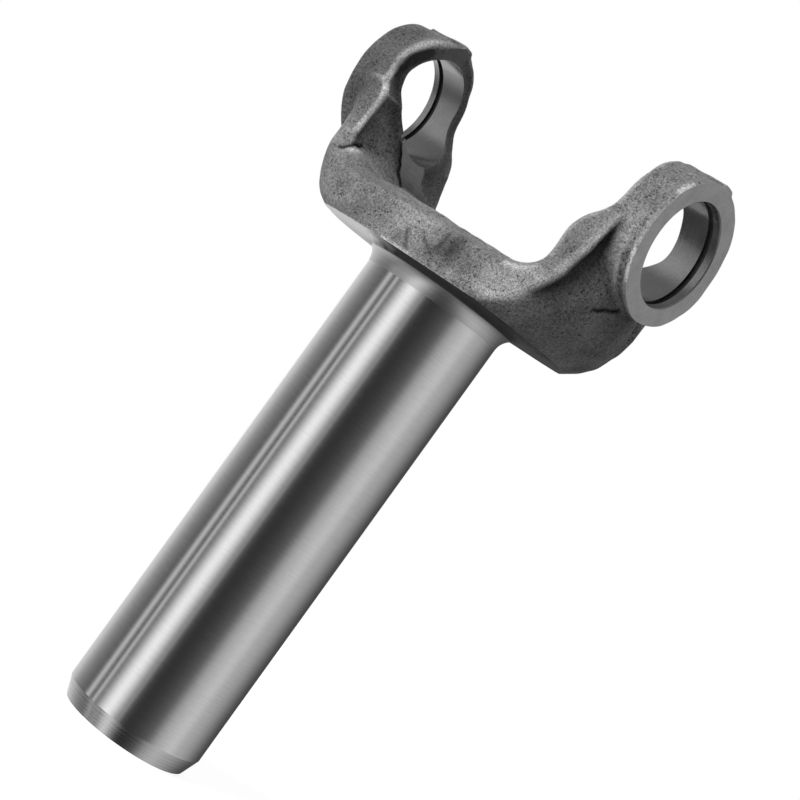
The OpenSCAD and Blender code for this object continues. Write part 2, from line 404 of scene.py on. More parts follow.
def gap_field(x, y, z):
    """Distance to the gap between the arms, drafted on both sides of the trimmed strip."""
    out = np.abs(x)
    strip_y = np.clip(STRIP_SLANT * (STRIP_SLANT_Z - z), -3, 4)
    depth = np.abs(y - strip_y) - STRIP_HALF_W
    shifted = HEEL_X + (out - HEEL_X) * math.cos(INNER_DRAFT) - depth * math.sin(INNER_DRAFT)
    gap = lookup(outline_table(gap_points(FACE_X)), shifted, z)
    # Towards its front edge the left arm keeps a straight inside and a tight, lapped corner
    flat = lookup(outline_table(front_corner_points()), out, z)
    share = np.clip((-y - 7) / 13, 0, 1) * np.clip((-x - 4) / 14, 0, 1)
    return gap + (flat - gap) * share * share * (3 - 2 * share)


def forging_field(axes):
    """Signed distance of the blank as forged, with its rough skin, and the bend of its smooth form."""
    rng = np.random.default_rng(SEED)
    x = axes[0][:, None, None]
    y = axes[1][None, :, None]
    z = axes[2][None, None, :]
    body = arms_field(axes, x, y, z)
    body = round_min(body, boss_field(x, y, z), by_arm(x, BOSS_FILLET_R))
    body = round_min(body, land_field(x, y, z), LAND_FILLET_R)
    # The gap's edge is rounder low down, most of all in the left arm's corner
    ramp = np.clip((-x - 12) / 10, 0, 1) * np.clip((x + 32) / 5, 0, 1)
    edge_r = GAP_EDGE_R + np.clip((GAP_EDGE_Z - z) / 6, 0, 1) * (GAP_EDGE_LOW + GAP_EDGE_CORNER * ramp)
    body = round_max(body, -gap_field(x, y, z), edge_r)

    bx, by, bz = BARK_PLACE
    bark = np.exp(-((x - bx) ** 2 + (y - by) ** 2 + (z - bz) ** 2) / BARK_REACH ** 2)
    (broad, broad_w), (middle, middle_w), (fine, fine_w) = SKIN_WAVES
    skin = broad * smooth_noise(axes, broad_w, rng) + middle * smooth_noise(axes, middle_w, rng)
    skin += (fine + BARK_DEPTH * bark) * smooth_noise(axes, fine_w, rng)
    rough = np.maximum(body + skin, np.maximum(UNDERSIDE_Z - 2.5 - z, np.abs(x) - EAR_X - 1.2))
    rough = rough.astype(np.float32)
    open_cracks(rough, axes)
    return rough, convexity(body.astype(np.float32))


def convexity(field):
    """Curvature of a distance field in 1/mm, positive where the solid's edges stand out."""
    bend = -6 * field
    for axis in range(3):
        bend += np.roll(field, 1, axis) + np.roll(field, -1, axis)
    bend = np.clip(bend / CELL ** 2, -1, 1)
    for axis in range(3):
        bend = (np.roll(bend, 1, axis) + np.roll(bend, -1, axis) + 2 * bend) / 4
    return bend


def sample(field, axes, points):
    """Trilinear values of a grid at points; 0 outside it."""
    place = (points - [a[0] for a in axes]) / CELL
    inside = np.all((place > 0) & (place < np.array(field.shape) - 1.001), axis=1)
    place = np.clip(place, 0, np.array(field.shape) - 1.001)
    low = place.astype(int)
    part = place - low
    total = np.zeros(len(points))
    for corner in np.ndindex(2, 2, 2):
        weight = np.prod(np.where(corner, part, 1 - part), axis=1)
        total += weight * field[tuple((low + corner).T)]
    return total * inside


def surface_nets(field, axes):
    """Closed quad mesh of the field's zero surface."""
    inside = field < 0
    cells = tuple(n - 1 for n in field.shape)
    total = np.zeros(cells + (3,), np.float32)
    count = np.zeros(cells, np.uint8)
    crossings = []
    for axis in range(3):
        a = np.moveaxis(field, axis, 0)
        mask = np.moveaxis(inside, axis, 0)
        i, j, k = np.nonzero(mask[:-1] != mask[1:])
        share = a[i, j, k] / (a[i, j, k] - a[i + 1, j, k])
        point = np.stack([i + share, j, k], 1)
        cell = np.stack([i, j, k], 1)
        order = [1, 2, 0] if axis == 2 else ([1, 0, 2] if axis == 1 else [0, 1, 2])
        point, cell = point[:, order], cell[:, order]
        others = [d for d in range(3) if d != axis]
        corners = []
        for du, dv in ((0, 0), (1, 0), (1, 1), (0, 1)):
            c = cell.copy()
            c[:, others[0]] -= du
            c[:, others[1]] -= dv
            corners.append(c)
            np.add.at(total, tuple(c.T), point)
            np.add.at(count, tuple(c.T), 1)
        flip = mask[i, j, k] == (axis == 1)
        crossings.append((corners, flip))
    index = np.full(cells, -1)
    used = count > 0
    index[used] = np.arange(used.sum())
    points = total[used] / count[used][:, None]
    low = np.array([a[0] for a in axes])
    step = np.array([a[1] - a[0] for a in axes])
    quads = []
    for corners, flip in crossings:
        q = np.stack([index[tuple(c.T)] for c in corners], 1)
        q[flip] = q[flip][:, ::-1]
        quads.append(q)
    return low + points * step, np.concatenate(quads)


def new_object(name, points, faces):
    """New mesh object in the scene."""
    mesh = bpy.data.meshes.new(name)
    mesh.from_pydata(np.asarray(points, float).tolist(), [], [list(f) for f in faces])
    mesh.validate()
    obj = bpy.data.objects.new(name, mesh)
    bpy.context.scene.collection.objects.link(obj)
    return obj


def lathe(name, profile, segments=160, axis="Z", centre=(0, 0, 0)):
    """Closed solid of revolution from (radius, height) points, on the axis at both ends or a loop."""
    profile = np.asarray(profile, float)
    angles = np.linspace(0, 2 * math.pi, segments, endpoint=False)
    ring = np.stack([np.cos(angles), np.sin(angles)], 1)
    points, rows = [], []
    for r, h in profile:
        if rows and (r, h) == tuple(profile[0]):
            rows.append(rows[0])
        elif r < 1e-6:
            rows.append([len(points)] * segments)
            points.append((0, 0, h))
        else:
            rows.append(list(range(len(points), len(points) + segments)))
            points.extend((r * c, r * s, h) for c, s in ring)
    faces = []
    for low, high in zip(rows, rows[1:]):
        for s in range(segments):
            n = (s + 1) % segments
            face = [low[s], low[n], high[n], high[s]]
            face = [v for k, v in enumerate(face) if v not in face[:k]]
            faces.append(face)
    points = np.array(points)
    if axis == "X":
        points = points[:, [2, 0, 1]]
    return new_object(name, points + np.array(centre), faces)


def prism(name, outline, low, high, axis="Z"):
    """Closed solid from an outline, extruded from low to high."""
    n = len(outline)
    flat = np.array(outline, float)
    points = np.concatenate([np.column_stack([flat, np.full(n, low)]),
                             np.column_stack([flat, np.full(n, high)])])
    faces = [list(range(n))[::-1], list(range(n, 2 * n))]
    faces += [[i, (i + 1) % n, n + (i + 1) % n, n + i] for i in range(n)]
    if axis == "Y":
        points = points[:, [0, 2, 1]]
        faces = [f[::-1] for f in faces]
    return new_object(name, points, faces)


def combine(target, others, operation):
    """Applies booleans to target with each of the others, which are then removed."""
    for other in others:
        modifier = target.modifiers.new("cut", "BOOLEAN")
        modifier.object = other
        modifier.operation = operation
        modifier.solver = "MANIFOLD"
        graph = bpy.context.evaluated_depsgraph_get()
        mesh = bpy.data.meshes.new_from_object(target.evaluated_get(graph))
        target.modifiers.clear()
        target.data = mesh
        bpy.data.objects.remove(other)
    return target


def cube(name, low, high):
    """Box from its low corner to its high one."""
    (x0, y0, z0), (x1, y1, z1) = low, high
    return prism(name, [(x0, y0), (x1, y0), (x1, y1), (x0, y1)], z0, z1)


def spline_outline():
    """Outline of the broached bore: one trapezoid space for each tooth of the shaft."""
    pitch_r = (SPLINE_MINOR_R + SPLINE_MAJOR_R) / 2
    half_pitch = math.pi / SPLINE_TEETH
    flank = math.tan(math.radians(30))
    half_w = pitch_r * math.sin(half_pitch / 2)
    root = (half_w - (SPLINE_MAJOR_R - pitch_r) * flank) / SPLINE_MAJOR_R
    tip = (half_w + (pitch_r - SPLINE_MINOR_R) * flank) / SPLINE_MINOR_R
    outline = []
    for tooth in range(SPLINE_TEETH):
        middle = 2 * half_pitch * tooth
        for r, offset in ((SPLINE_MINOR_R, -tip), (SPLINE_MAJOR_R, -root),
                          (SPLINE_MAJOR_R, root), (SPLINE_MINOR_R, tip)):
            outline.append((r * math.cos(middle + offset), r * math.sin(middle + offset)))
    return outline


def skin_tone_and_light(points):
    """Share of the plain tone at each point: under 1 on scale, in laps and under painted shade, over 1 where
    rubbed and under painted highlights.
    """
    tone = np.ones(len(points))
    # Painted shade and painted highlights, with some scale and wear
    for centre, reach, change in PAINTED_LIGHT_AND_SCALE_SPOTS:
        tone += change * np.exp(-((points - centre) ** 2).sum(1) / reach ** 2)
    for line, reach, change in PAINTED_LIGHT_AND_WEAR_STROKES:
        tone += change * np.exp(-(line_distance(points, line) / reach) ** 2)
    # Painted shadow in a ring round each bore, inside the ears
    ring = np.hypot(points[:, 1], points[:, 2] - BORE_Z)
    near = np.exp(-((ring - SHADE_RING_R) / SHADE_RING_HALF_W) ** 2)
    tone += SHADE_RING_CHANGE * near * (np.abs(points[:, 0]) < SHADE_RING_WITHIN_X)
    return np.maximum(tone, TONE_LEAST) * (1 - LAP_DARKNESS * crack_depth(points))


def trim_blank(yoke):
    """Cuts the underside and the outer ear faces flat."""
    far = 60.0
    combine(yoke, [
        cube("below", (-far, -far, 100), (far, far, UNDERSIDE_Z)),
        cube("right", (EAR_X, -far, 100), (far, far, 210)),
        cube("left", (-far, -far, 100), (-EAR_X, far, 210)),
    ], "DIFFERENCE")


def join_barrel(yoke):
    """Joins the turned barrel, with its entry chamfer and its fillet to the underside."""
    barrel = [(0, 0), (ENTRY_R, 0), (BARREL_R, ENTRY_H)]
    barrel += arc(BARREL_R + FILLET_R, UNDERSIDE_Z - FILLET_R + 0.03, FILLET_R, 180, 90)
    barrel += [(BARREL_R + FILLET_R, UNDERSIDE_Z + 2), (0, UNDERSIDE_Z + 2)]
    combine(yoke, [lathe("barrel", barrel, 192)], "UNION")


def trim_strips(yoke):
    """Cuts the flash along the inside of each arm, which leaves the trimmed strips."""
    strip = [(x, z) for x, z in gap_points(FACE_X) if x > HEEL_X - 2.2]
    strip = [(10.0, strip[0][1])] + strip[:-2] + [(FACE_X, SKY_Z), (10.0, SKY_Z)]
    for side in (1, -1):
        outline = [(side * x, z) for x, z in strip]
        combine(yoke, [prism("strip", outline[::side], -29.0, 29.0, "Y")], "DIFFERENCE")


def bore_ears(yoke):
    """Bores both ears for the bearing caps, with the grooves for their rings."""
    bore = [(0, -55), (BORE_MOUTH_R, -55), (BORE_MOUTH_R, -EAR_X - 0.01),
            (BORE_R, -EAR_X + BORE_MOUTH_H), (BORE_R, -GROOVE_OUT_X), (GROOVE_R, -GROOVE_OUT_X),
            (GROOVE_R, -GROOVE_IN_X), (BORE_R, -GROOVE_IN_X)]
    bore += [(r, -h) for r, h in reversed(bore)]
    combine(yoke, [lathe("bore", bore, 144, "X", (0, 0, BORE_Z))], "DIFFERENCE")


def bore_socket(yoke):
    """Counterbore, broached splines and plug seat inside the barrel."""
    mouth_r = COUNTERBORE_R + COUNTERBORE_MOUTH_H + 1
    socket = [(0, -1), (mouth_r, -1), (COUNTERBORE_R, COUNTERBORE_MOUTH_H),
              (COUNTERBORE_R, COUNTERBORE_H), (SPLINE_MINOR_R, COUNTERBORE_H),
              (SPLINE_MINOR_R, PLUG_SEAT_Z), (PLUG_R, PLUG_SEAT_Z), (PLUG_R, 150), (0, 150)]
    splines = prism("splines", spline_outline(), COUNTERBORE_H - 0.5, PLUG_SEAT_Z + 0.3)
    combine(yoke, [lathe("socket", socket, 140), splines], "DIFFERENCE")


def build_yoke():
    """The whole forging in millimetres, with its wear and its tone, painted shade and highlights included,
    kept on its vertices.
    """
    axes = [np.arange(lo, hi + CELL / 2, CELL, dtype=np.float32)
            for lo, hi in zip(GRID_LOW, GRID_HIGH)]
    field, bend = forging_field(axes)
    points, quads = surface_nets(field, axes)
    yoke = new_object("yoke_forging", points, quads)
    trim_blank(yoke)
    join_barrel(yoke)
    trim_strips(yoke)
    bore_ears(yoke)
    bore_socket(yoke)

    points = np.zeros(len(yoke.data.vertices) * 3)
    yoke.data.vertices.foreach_get("co", points)
    points = points.reshape(-1, 3)
    worn = (points[:, 2] > WORN_Z) | (points[:, 0] > WORN_X)
    wear = sample(bend, axes, points) * np.where(worn, 1.0, LITTLE_WEAR)
    yoke.data.attributes.new("bend", "FLOAT", "POINT").data.foreach_set("value", wear)
    # Tone: scale, laps and wear, with painted shade and painted highlights
    yoke.data.attributes.new("tone", "FLOAT", "POINT").data.foreach_set("value", skin_tone_and_light(points))
    return yoke


# Finishes, in the order of the yoke's material slots
FORGED, GROUND, TURNED, MILLED, BORED, TRIMMED, SOCKET, GROOVE = range(8)
GROUND_TOP_Z = 126.5
SEAM_ANGLE = 6
SHARP_ANGLE = 32
SHADE_RISE = 11.0

# Dark scale and painted shadow on the underside: the way it lies on the part, and where it starts and is
# full
DARK_SIDE = (0.816, 0.578, 0.0)
DARK_FROM = -23.0
DARK_TO = -14.0


def classify(centres, normals):
    """Finish of each face, by where it lies on the part (millimetres)."""
    x, y, z = centres.T
    nx, ny, nz = normals.T
    radius = np.hypot(x, y)
    bore_radius = np.hypot(y, z - BORE_Z)
    out = np.abs(x)
    finish = np.full(len(x), FORGED)
    outside = (z < UNDERSIDE_Z + 0.01) & (radius > COUNTERBORE_R + 0.2)
    finish[outside] = GROUND
    finish[outside & ((z < ENTRY_H + 0.1) & (nz < -0.2) | (z > GROUND_TOP_Z))] = TURNED
    inner = (radius < PLUG_R + 0.05) & (z > 0.001) & (z < CROTCH_Z + 1) & (nz < 0.5)
    inner &= ~((z > PLUG_SEAT_Z + 0.01) & (radius < PLUG_R - 0.3))
    finish[inner] = SOCKET
    finish[(np.abs(z - PLUG_SEAT_Z) < 0.01) & (nz > 0.9) & (radius < PLUG_R)] = SOCKET
    finish[(np.abs(z - UNDERSIDE_Z) < 0.01) & (nz < -0.99)] = TURNED
    finish[(np.abs(out - EAR_X) < 0.02) & (np.abs(nx) > 0.99)] = MILLED
    inward = ny * y + nz * (z - BORE_Z) < -0.3 * bore_radius
    bored = (bore_radius < GROOVE_R + 0.05) & (out > HEEL_X - 2) & (inward | (out > GROOVE_IN_X - 0.15))
    finish[bored & (finish != MILLED)] = BORED
    groove = (bore_radius > BORE_R + 0.12) & (out > GROOVE_IN_X - 0.05) & (out < GROOVE_OUT_X + 0.05)
    finish[bored & groove] = GROOVE
    wall = polygon_distance(out, z, gap_points(FACE_X))
    cut = (np.abs(wall) < 0.03) & (np.abs(ny) < 0.02) & (z > CROTCH_Z + 1.5)
    finish[cut & (finish == FORGED)] = TRIMMED
    finish[(z > LAND_TOP - 1.2) & (nz > 0.95) & (np.abs(y) < LAND_HALF_W + 0.1)] = MILLED
    return finish


def shade(obj, finish):
    """Smooth shading, with sharp edges where finishes meet, and burrs on the forged side of them."""
    mesh = obj.data
    mesh.shade_smooth()
    count = len(mesh.polygons)
    mesh.polygons.foreach_set("material_index", finish.astype(np.int32))
    normals = np.zeros(count * 3)
    mesh.polygons.foreach_get("normal", normals)
    normals = normals.reshape(-1, 3)
    loop_edge = np.zeros(len(mesh.loops), int)
    mesh.loops.foreach_get("edge_index", loop_edge)
    totals = np.zeros(count, int)
    mesh.polygons.foreach_get("loop_total", totals)
    loop_face = np.repeat(np.arange(count), totals)
    order = np.argsort(loop_edge, kind="stable")
    edges, faces = loop_edge[order], loop_face[order]
    same = np.nonzero(edges[:-1] == edges[1:])[0]
    a, b, edge = faces[same], faces[same + 1], edges[same]
    angle = np.degrees(np.arccos(np.clip((normals[a] * normals[b]).sum(1), -1, 1)))
    forged = (finish[a] == FORGED) & (finish[b] == FORGED)
    differ = finish[a] != finish[b]
    sharp = np.zeros(len(mesh.edges), bool)
    sharp[edge] = (differ & (angle > SEAM_ANGLE)) | (~forged & (angle > SHARP_ANGLE))
    attribute = mesh.attributes.new("sharp_edge", "BOOLEAN", "EDGE")
    attribute.data.foreach_set("value", sharp)
    ends = np.zeros(len(mesh.edges) * 2, int)
    mesh.edges.foreach_get("vertices", ends)
    burr = edge[differ & ((finish[a] == FORGED) | (finish[b] == FORGED))]
    bend = np.zeros(len(mesh.vertices))
    mesh.attributes["bend"].data.foreach_get("value", bend)
    bend[ends.reshape(-1, 2)[burr].ravel()] = BURR_BEND
    mesh.attributes["bend"].data.foreach_set("value", bend)


def face_arrays(obj):
    """Centre and normal of each face."""
    mesh = obj.data
    centres = np.zeros(len(mesh.polygons) * 3)
    normals = np.zeros(len(mesh.polygons) * 3)
    mesh.polygons.foreach_get("center", centres)
    mesh.polygons.foreach_get("normal", normals)
    return centres.reshape(-1, 3), normals.reshape(-1, 3)


def node(tree, kind, inputs=None, **settings):
    """New shader node, with each input linked to a socket or set to a value."""
    made = tree.nodes.new("ShaderNode" + kind)
    for key, value in settings.items():
        setattr(made, key, value)
    for key, value in (inputs or {}).items():
        if isinstance(value, bpy.types.NodeSocket):
            tree.links.new(value, made.inputs[key])
        else:
            made.inputs[key].default_value = value
    return made


def math_node(tree, operation, *values):
    """Output of a math node on sockets or numbers."""
    return node(tree, "Math", dict(enumerate(values)), operation=operation).outputs[0]


def noise_node(tree, vector, scale, detail=2.0, roughness=0.5):
    """Noise of the given scale, mostly between 0.3 and 0.7."""
    return node(tree, "TexNoise", {"Vector": vector, "Scale": scale, "Detail": detail,
                                   "Roughness": roughness}).outputs["Fac"]


def stretch(tree, factor, low, high):
    """Maps a factor of about 0.3 to 0.7 onto the range from low to high."""
    return node(tree, "MapRange", {"Value": factor, "From Min": 0.3, "From Max": 0.7,
                                   "To Min": low, "To Max": high}).outputs[0]


def grey(tree, value):
    """Grey colour of one value."""
    return node(tree, "CombineColor", {"Red": value, "Green": value, "Blue": value}).outputs[0]


def material(name):
    """New material with its shader, and its object coordinates in millimetres."""
    made = bpy.data.materials.new(name)
    made.use_nodes = True
    tree = made.node_tree
    shader = tree.nodes["Principled BSDF"]
    coords = node(tree, "TexCoord").outputs["Object"]
    scaled = node(tree, "VectorMath", {0: coords, 1: (1000, 1000, 1000)}, operation="MULTIPLY").outputs[0]
    return made, tree, shader, scaled


def squeeze(tree, vector, x, y, z):
    """The vector with each part scaled by itself."""
    return node(tree, "VectorMath", {0: vector, 1: (x, y, z)}, operation="MULTIPLY").outputs[0]


def brush(tree, shader, axis, amount):
    """Stretches the highlights across the tool marks that run round an axis."""
    shader.inputs["Anisotropic"].default_value = amount
    shader.inputs["Anisotropic Rotation"].default_value = 0.25
    tangent = node(tree, "Tangent", direction_type="RADIAL", axis=axis).outputs[0]
    tree.links.new(tangent, shader.inputs["Tangent"])


def bump(tree, shader, height, distance):
    """Fine relief on the shader, with its depth in metres."""
    made = node(tree, "Bump", {"Height": height, "Distance": distance, "Strength": 1.0})
    tree.links.new(made.outputs[0], shader.inputs["Normal"])


def forged_material():
    """Scaled and shot-blasted skin: dark grain, rubbed bright along the edges, darker in the hollows, and
    painted shade and highlights.
    """
    made, tree, shader, mm = material("forged_skin")
    grain = noise_node(tree, mm, 1.7, 5.0, 0.68)
    fine = noise_node(tree, mm, 5.0, 2.0, 0.6)
    patch = noise_node(tree, mm, 0.13, 3.0, 0.55)
    bend = node(tree, "Attribute", attribute_name="bend").outputs["Fac"]
    rubbed = node(tree, "MapRange", {"Value": bend, "From Min": 0.18, "From Max": 0.75}).outputs[0]
    rubbed = math_node(tree, "MULTIPLY", rubbed, stretch(tree, noise_node(tree, mm, 0.15), 0.2, 1.2))
    # Darker where the skin is hollow
    hollow = node(tree, "MapRange", {"Value": bend, "From Min": -0.05, "From Max": -0.35,
                                     "To Max": 0.07}).outputs[0]
    tone = math_node(tree, "ADD", stretch(tree, grain, 0.12, 0.48), stretch(tree, patch, -0.08, 0.08))
    tone = math_node(tree, "ADD", tone, stretch(tree, fine, -0.15, 0.15))
    pits = node(tree, "MapRange", {"Value": noise_node(tree, mm, 1.1, 2.0, 0.6), "From Min": 0.40,
                                   "From Max": 0.30, "To Max": 0.22}).outputs[0]
    tone = math_node(tree, "SUBTRACT", tone, pits)
    tone = math_node(tree, "SUBTRACT", tone, hollow)
    # Painted shade and painted highlights come in with the tone attribute
    place = node(tree, "Attribute", attribute_name="tone").outputs["Fac"]
    tone = math_node(tree, "MULTIPLY", math_node(tree, "MAXIMUM", tone, 0.03), place)
    edge = math_node(tree, "MULTIPLY", rubbed, stretch(tree, fine, 0.0, 0.9))
    tone = math_node(tree, "ADD", tone, math_node(tree, "MAXIMUM", edge, 0.0))
    tree.links.new(grey(tree, tone), shader.inputs["Base Color"])
    tree.links.new(stretch(tree, grain, 0.62, 0.42), shader.inputs["Roughness"])
    shader.inputs["Metallic"].default_value = 0.3
    shader.inputs["Specular IOR Level"].default_value = 0.25
    height = math_node(tree, "ADD", grain, math_node(tree, "MULTIPLY", fine, 0.5))
    bump(tree, shader, height, 0.0007)
    return made


def ground_material():
    """Ground barrel, with very fine marks round it."""
    made, tree, shader, mm = material("ground_barrel")
    lines = noise_node(tree, squeeze(tree, mm, 0.25, 0.25, 7.0), 1.0, 3.0, 0.6)
    tree.links.new(grey(tree, stretch(tree, lines, 0.74, 0.84)), shader.inputs["Base Color"])
    tree.links.new(stretch(tree, lines, 0.12, 0.20), shader.inputs["Roughness"])
    shader.inputs["Metallic"].default_value = 1.0
    brush(tree, shader, "Z", 0.8)
    bump(tree, shader, lines, 0.000004)
    return made


def painted_shade_share(tree, mm, top, right):
    """Painted shade: share of the tone that stays on the upper half of the ears, less on the right one."""
    parts = node(tree, "SeparateXYZ", {0: mm})
    least = node(tree, "MapRange", {"Value": parts.outputs[0], "From Min": -1.0, "To Min": 1 - top,
                                    "To Max": 1 - top - right}).outputs[0]
    return node(tree, "MapRange", {"Value": parts.outputs[2], "From Min": BORE_Z,
                                   "From Max": BORE_Z + SHADE_RISE, "To Min": 1.0,
                                   "To Max": least}).outputs[0]


def machined_material(name, base, roughness, axis, gloss_stretch=0.5, line_scale=5.0,
                      shade_top=0.0, shade_right=0.0, speckle=0.0):
    """Cut steel of a base tone, with tool marks round an axis, painted shade towards the top of the ears,
    and speckled places.
    """
    made, tree, shader, mm = material(name)
    across = {"Z": (0.2, 0.2, line_scale), "X": (line_scale, 0.2, 0.2)}[axis]
    lines = noise_node(tree, squeeze(tree, mm, *across), 1.0, 3.0, 0.6)
    cloud = noise_node(tree, mm, 0.3, 2.0, 0.5)
    tone = math_node(tree, "ADD", stretch(tree, lines, base - 0.04, base + 0.04),
                     stretch(tree, cloud, -0.03, 0.03))
    # Painted shade towards the top of the ears
    if shade_top:
        tone = math_node(tree, "MULTIPLY", tone, painted_shade_share(tree, mm, shade_top, shade_right))
    if speckle:
        grain = noise_node(tree, mm, 3.0, 3.0, 0.65)
        tone = math_node(tree, "ADD", tone, stretch(tree, grain, -speckle, speckle))
    tree.links.new(grey(tree, tone), shader.inputs["Base Color"])
    tree.links.new(stretch(tree, lines, roughness - 0.04, roughness + 0.05), shader.inputs["Roughness"])
    shader.inputs["Metallic"].default_value = 1.0
    brush(tree, shader, axis, gloss_stretch)
    bump(tree, shader, lines, 0.00001)
    return made


def dark_underside(tree, mm, parts):
    """Share of dark scale and painted shadow under the rim of the base, which fades out towards its left
    end.
    """
    side = node(tree, "VectorMath", {0: mm, 1: DARK_SIDE}, operation="DOT_PRODUCT").outputs["Value"]
    side = math_node(tree, "ADD", side, stretch(tree, noise_node(tree, mm, 0.25), -2.0, 2.0))
    scale = node(tree, "MapRange", {"Value": side, "From Min": DARK_FROM, "From Max": DARK_TO}).outputs[0]
    under = node(tree, "MapRange", {"Value": parts.outputs[2], "From Min": UNDERSIDE_Z - 1.4,
                                    "From Max": UNDERSIDE_Z - 1.1}).outputs[0]
    return math_node(tree, "MULTIPLY", scale, under)


def turned_material():
    """Faces turned about the barrel axis, with fine rings, and dark scale with painted shadow on the
    underside.
    """
    made, tree, shader, mm = material("turned_faces")
    parts = node(tree, "SeparateXYZ", {0: mm})
    x, y, z = parts.outputs
    radius = math_node(tree, "POWER", math_node(tree, "ADD", math_node(tree, "MULTIPLY", x, x),
                                                math_node(tree, "MULTIPLY", y, y)), 0.5)
    ring = node(tree, "CombineXYZ", {0: radius, 1: 0.0, 2: z}).outputs[0]
    lines = noise_node(tree, squeeze(tree, ring, 3.0, 1.0, 3.0), 1.0, 3.0, 0.65)
    # Dark scale with painted shadow under the rim of the base
    scale = dark_underside(tree, mm, parts)
    bright = stretch(tree, lines, 0.62, 0.86)
    tone = node(tree, "Mix", {0: scale, 2: bright, 3: 0.07}, data_type="FLOAT").outputs[0]
    tree.links.new(grey(tree, tone), shader.inputs["Base Color"])
    # The entry chamfer is cut finer than the rest
    entry = math_node(tree, "MULTIPLY", math_node(tree, "LESS_THAN", z, ENTRY_H + 1.2), 0.14)
    fine_cut = math_node(tree, "SUBTRACT", stretch(tree, lines, 0.28, 0.44), entry)
    rough = node(tree, "Mix", {0: scale, 2: fine_cut, 3: 0.7}, data_type="FLOAT")
    tree.links.new(rough.outputs[0], shader.inputs["Roughness"])
    tree.links.new(math_node(tree, "SUBTRACT", 1.0, scale), shader.inputs["Metallic"])
    shader.inputs["Specular IOR Level"].default_value = 0.2
    brush(tree, shader, "Z", 0.5)
    bump(tree, shader, lines, 0.00002)
    return made


def plug_material():
    """Pressed sheet steel, a little cloudy."""
    made, tree, shader, mm = material("plug_sheet")
    cloud = noise_node(tree, mm, 0.8, 3.0, 0.5)
    fine = noise_node(tree, mm, 6.0, 2.0, 0.5)
    tree.links.new(grey(tree, stretch(tree, cloud, 0.48, 0.60)), shader.inputs["Base Color"])
    tree.links.new(stretch(tree, fine, 0.30, 0.42), shader.inputs["Roughness"])
    shader.inputs["Metallic"].default_value = 1.0
    bump(tree, shader, fine, 0.00001)
    return made


def add_camera():
    """Camera at the photograph's place, turned about its own axis."""
    azimuth, elevation, roll = CAMERA_AZIMUTH, CAMERA_ELEVATION, CAMERA_ROLL
    back = Vector((math.sin(azimuth) * math.cos(elevation),
                   -math.cos(azimuth) * math.cos(elevation), math.sin(elevation)))
    right = Vector((math.cos(azimuth), math.sin(azimuth), 0))
    up = back.cross(right)
    target = right * CAMERA_SHIFT[0] + Vector((0, 0, CAMERA_SHIFT[1]))
    turned_right = right * math.cos(roll) + up * math.sin(roll)
    turned_up = up * math.cos(roll) - right * math.sin(roll)
    data = bpy.data.cameras.new("camera")
    data.lens = LENS
    data.sensor_width = SENSOR
    data.sensor_fit = "HORIZONTAL"
    data.clip_start = 0.01
    data.clip_end = 50
    camera = bpy.data.objects.new("camera", data)
    axes = Matrix((turned_right, turned_up, back)).transposed()
    camera.matrix_world = Matrix.Translation((target + back * CAMERA_DISTANCE) * MM) @ axes.to_4x4()
    bpy.context.scene.collection.objects.link(camera)
    bpy.context.scene.camera = camera


# Soft upright panels round the part: degrees to the right of the camera, spread in degrees,
# level and firmness of the edge
PANELS = [
    (-38, 16, 1.00, 1),
    (-16, 2, 0.10, 1),
    (-66, 3, 0.50, 1),
    (-80, 5, 0.50, 1),
    (-119, 38, 0.18, 1),
    (-150, 26, 0.55, 1),
    (-164, 8, 0.43, 2),
    (-178, 8, 0.45, 1),
    (62, 21, 0.21, 2),
    (86, 41, 0.44, 1),
]
PANEL_FLOOR = 0.022
TOP_LEVEL = 0.16
DOME_R = 1200.0
DOME_Z = 100.0
FLOOR_R = 3000.0
FLOOR_TOP = -0.05
FLOOR_BOTTOM = -0.6
FLOOR_TONE = 0.25
FLOOR_LIFT = 0.88
FLOOR_FADE_FROM = 0.15
FLOOR_FADE_TO = 0.8
AMBIENT_BELOW = 0.03
AMBIENT_ABOVE = 0.10

# Soft lamps: degrees to the right of the camera, elevation in degrees and watts
LAMPS = {"key": (-50, 30, 16), "low": (-50, 5, 3), "side": (110, 25, 1.5), "back": (170, 25, 7)}
LAMP_DISTANCE = 1.1
LAMP_SIZE = 0.7
LAMP_AIM = Vector((0, 0, 0.12))


def light_path(tree):
    """1 for camera, glossy and transmission rays, and 0 for the light on diffuse surfaces."""
    path = node(tree, "LightPath")
    seen = math_node(tree, "MAXIMUM", path.outputs["Is Camera Ray"], path.outputs["Is Glossy Ray"])
    return math_node(tree, "MAXIMUM", seen, path.outputs["Is Transmission Ray"])


def add_world():
    """White surroundings that light the diffuse surfaces only a little, less from below."""
    world = bpy.data.worlds.new("studio")
    world.use_nodes = True
    tree = world.node_tree
    tree.nodes.clear()
    up = node(tree, "SeparateXYZ", {0: node(tree, "TexCoord").outputs["Generated"]}).outputs[2]
    soft = node(tree, "MapRange", {"Value": up, "From Min": -0.5, "From Max": 0.6,
                                   "To Min": AMBIENT_BELOW, "To Max": AMBIENT_ABOVE}).outputs[0]
    level = node(tree, "Mix", {0: light_path(tree), 2: soft, 3: 1.0}, data_type="FLOAT").outputs[0]
    background = node(tree, "Background", {"Color": (1, 1, 1, 1), "Strength": level})
    output = node(tree, "OutputWorld")
    tree.links.new(background.outputs[0], output.inputs["Surface"])
    bpy.context.scene.world = world


